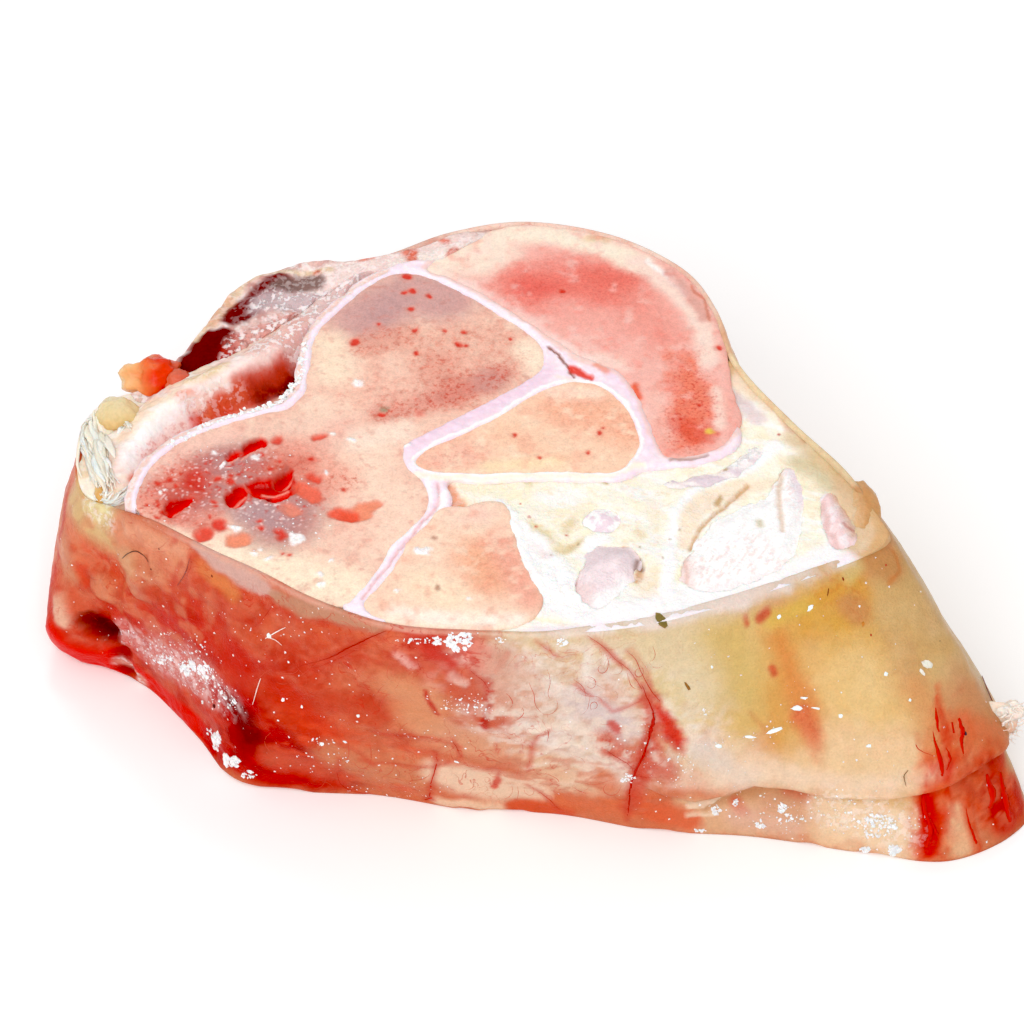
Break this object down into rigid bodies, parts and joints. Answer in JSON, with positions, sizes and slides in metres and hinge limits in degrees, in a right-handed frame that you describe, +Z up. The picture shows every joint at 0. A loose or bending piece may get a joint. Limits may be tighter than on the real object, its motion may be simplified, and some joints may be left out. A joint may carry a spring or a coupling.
{
  "type": "raw veal knuckle bone",
  "caption": "Raw veal knuckle sawn into a thick slice: bones with cartilage between them, fat, cut tendons and a wall of meat and fascia.",
  "frame": {"origin": "middle of the bounding box in plan, on the lower cut that the slice lies on", "axes": "+X along the slice from the round lobe to the pointed end, +Y away from the front wall, +Z up through the slice, from the lower cut to the sawn face"},
  "size_m": [0.1346, 0.0944, 0.0363],
  "materials": {
    "flesh": "moist meat and fascia with vessels and frost",
    "bone": "sawn spongy bone, peach with pink mottling and wet marrow holes",
    "red_bone": "sawn spongy bone full of blood, rose red with a cream edge",
    "cartilage": "smooth lavender white cartilage",
    "fat": "ivory fat with yellow blotches and white crumbs",
    "tendon": "grey white cut tendon with fine fibres",
    "capsule": "glossy cream joint capsule",
    "muscle": "dark maroon meat with frost"
  },
  "bodies": {
    "root": {"flesh": "flesh", "bone_large": "bone", "bone_upper": "red_bone", "bone_center": "bone", "bone_front": "bone", "cartilage": "cartilage", "fat_pad": "fat", "tendon_round": "tendon", "tendon_small": "tendon", "tendon_broad": "tendon", "tendon_flat": "tendon", "tendon_edge": "tendon", "joint_capsule": "capsule", "muscle_back": "muscle", "ligament": "fat"}
  },
  "joints": []
}
